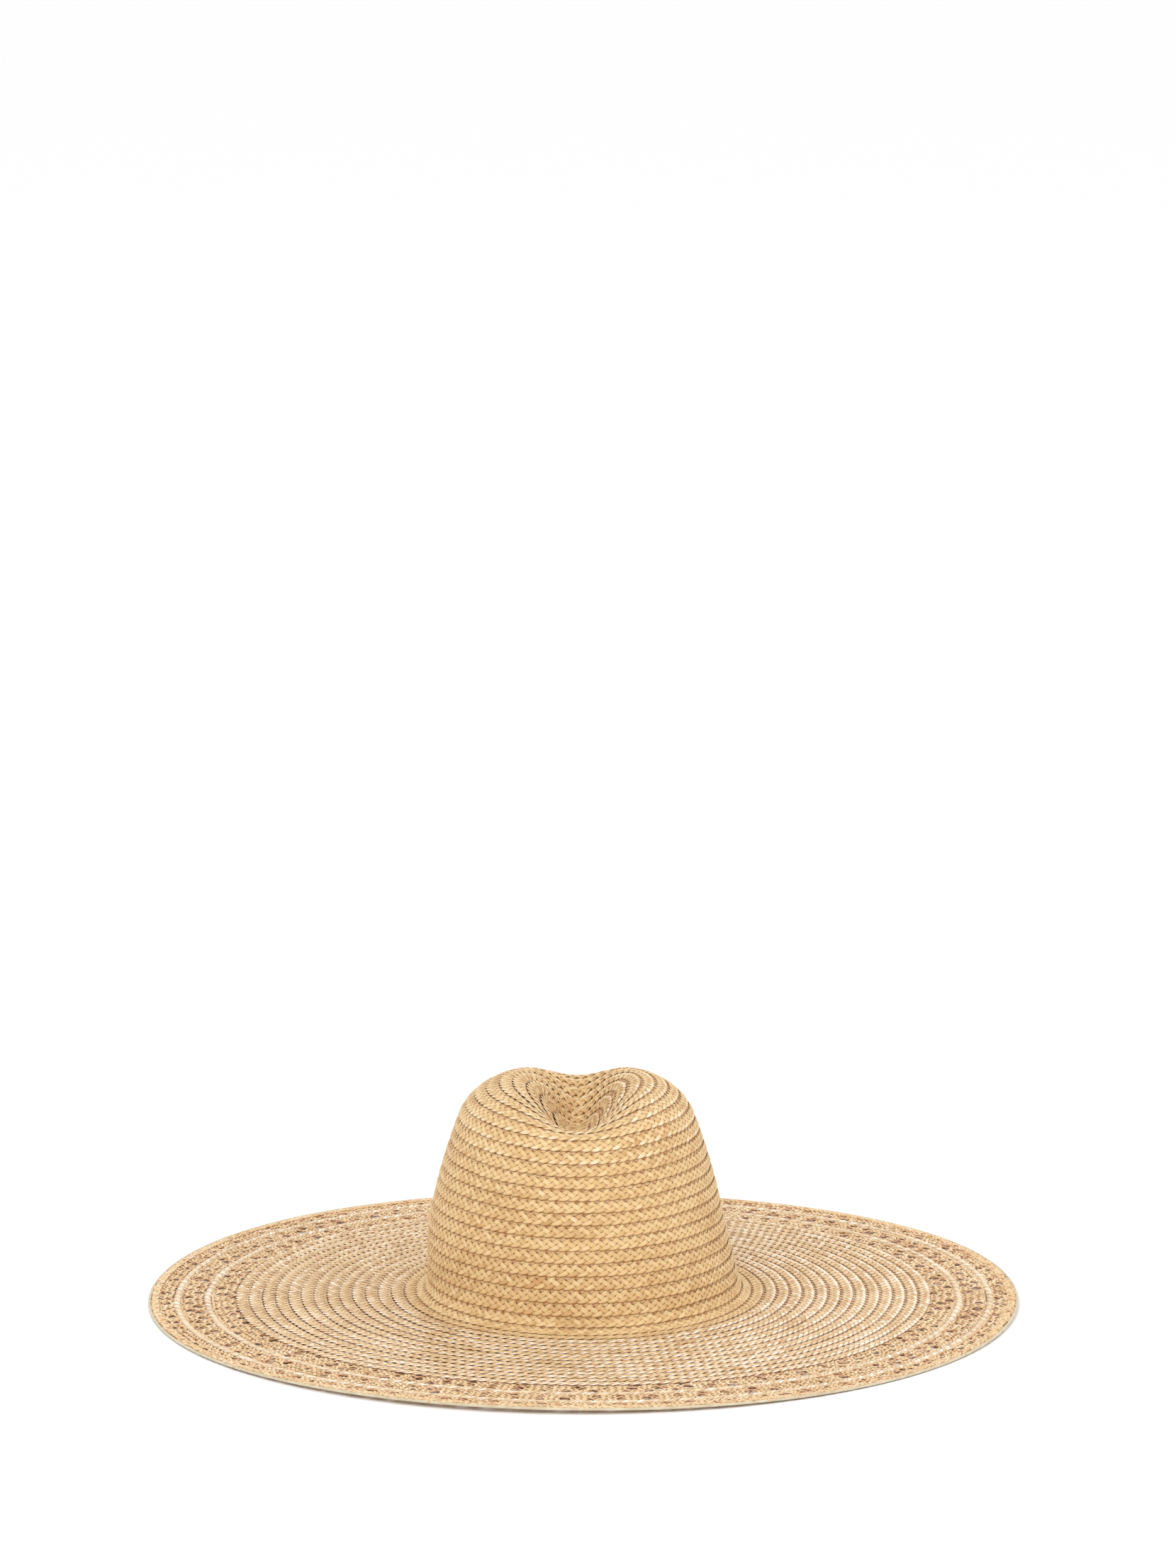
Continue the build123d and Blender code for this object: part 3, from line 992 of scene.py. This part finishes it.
ribbon_material = grosgrain("ribbon_grosgrain", light=(226, 206, 172), dark=(196, 170, 130))
thread_material = straw(
    "stitch_thread", dark=(206, 190, 160), middle=(226, 212, 184), light=(238, 226, 202),
    pale=(248, 240, 224), shadow=(150, 126, 92), fibre=0.4,
)
ribbon, ribbon_length = ribbon_sheet(
    "sweatband_ribbon", np.linspace(BAND_TOP, BAND_BOTTOM, BAND_ROWS),
    even_angles((BAND_TOP + BAND_BOTTOM) / 2, BAND_COLUMNS)[0][:-1],
    BAND_FACE + RIBBON_INSIDE, RIBBON, ribbon_material, closed=True,
)
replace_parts(ribbon, "sweatband")
tab, _ = ribbon_sheet(
    "sweatband_tab", np.linspace(BAND_TOP + TAB_SHORTER, BAND_BOTTOM - TAB_SHORTER, TAB_ROWS),
    np.linspace(TAB_MIDDLE - TAB_HALF_TURN, TAB_MIDDLE + TAB_HALF_TURN, TAB_COLUMNS),
    BAND_FACE - JOIN_INSET - JOIN + TAB_INSIDE, TAB, ribbon_material,
)
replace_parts(tab, "sweatband_join")
stitches = stitching(thread_material)
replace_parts(stitches, "sweatband_stitches")

# ---- the wire along the rim, which keeps its CAD mesh ----------------------------------------------

wire_material = nylon("rim_wire", dark=(196, 180, 150), light=(216, 202, 174))
for material_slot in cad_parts["edge_wire"].material_slots:
    material_slot.material = wire_material

# ---- stage, lights and camera ----------------------------------------------------------------------

FLOOR_HALF = 30.0
CAMERA_DISTANCE = 4.0  # from the middle of the crown's foot
CAMERA_ELEVATION = math.radians(13.7)
CAMERA_PITCH = math.radians(9.762)  # less steep than its elevation, so the hat stands low in view
CAMERA_ASIDE = 0.0025
LENS = 226.0
SENSOR = 36.0
LIGHTS_AIM = Vector((0, 0, 0.05))


def floor_paper():
    """Plain white paper."""
    n = Nodes("floor_paper")
    n.shader.inputs["Base Color"].default_value = (0.99, 0.99, 0.99, 1.0)
    n.shader.inputs["Roughness"].default_value = 0.9
    n.shader.inputs["Specular IOR Level"].default_value = 0.1
    return n.material


def area_light(name, place, size, power):
    """A square soft light."""
    data = bpy.data.lights.new(name, "AREA")
    data.shape = "SQUARE"
    data.size = size
    data.energy = power
    light = bpy.data.objects.new(name, data)
    bpy.context.scene.collection.objects.link(light)
    light.location = place
    light.rotation_euler = (LIGHTS_AIM - Vector(place)).to_track_quat("-Z", "Y").to_euler()


corners = [(x * FLOOR_HALF, y * FLOOR_HALF, 0) for x, y in ((-1, -1), (1, -1), (1, 1), (-1, 1))]
floor_mesh = bpy.data.meshes.new("floor")
floor_mesh.from_pydata(corners, [], [(0, 1, 2, 3)])
floor_mesh.materials.append(floor_paper())
floor = bpy.data.objects.new("floor", floor_mesh)
bpy.context.scene.collection.objects.link(floor)

area_light("key", (-0.9, -2.5, 2.4), size=1.6, power=27.5)
area_light("fill", (2.4, -1.2, 1.2), size=1.8, power=9)
area_light("back", (0.5, 2.2, 2.0), size=1.5, power=6)

world = bpy.data.worlds.new("studio")
bpy.context.scene.world = world
world.use_nodes = True
background = world.node_tree.nodes["Background"]
background.inputs["Color"].default_value = (1.0, 1.0, 1.0, 1.0)
background.inputs["Strength"].default_value = 1.0
bpy.context.scene.view_settings.view_transform = "Standard"

camera_data = bpy.data.cameras.new("camera")
camera_data.sensor_fit = "HORIZONTAL"
camera_data.sensor_width = SENSOR
camera_data.lens = LENS
camera_data.clip_end = 100.0
camera = bpy.data.objects.new("camera", camera_data)
bpy.context.scene.collection.objects.link(camera)
camera.location = (
    CAMERA_ASIDE,
    -math.cos(CAMERA_ELEVATION) * CAMERA_DISTANCE,
    (BASE_HEIGHT + WAVE) * MM + math.sin(CAMERA_ELEVATION) * CAMERA_DISTANCE,
)
camera.rotation_euler = (math.pi / 2 - CAMERA_PITCH, 0, 0)
bpy.context.scene.camera = camera
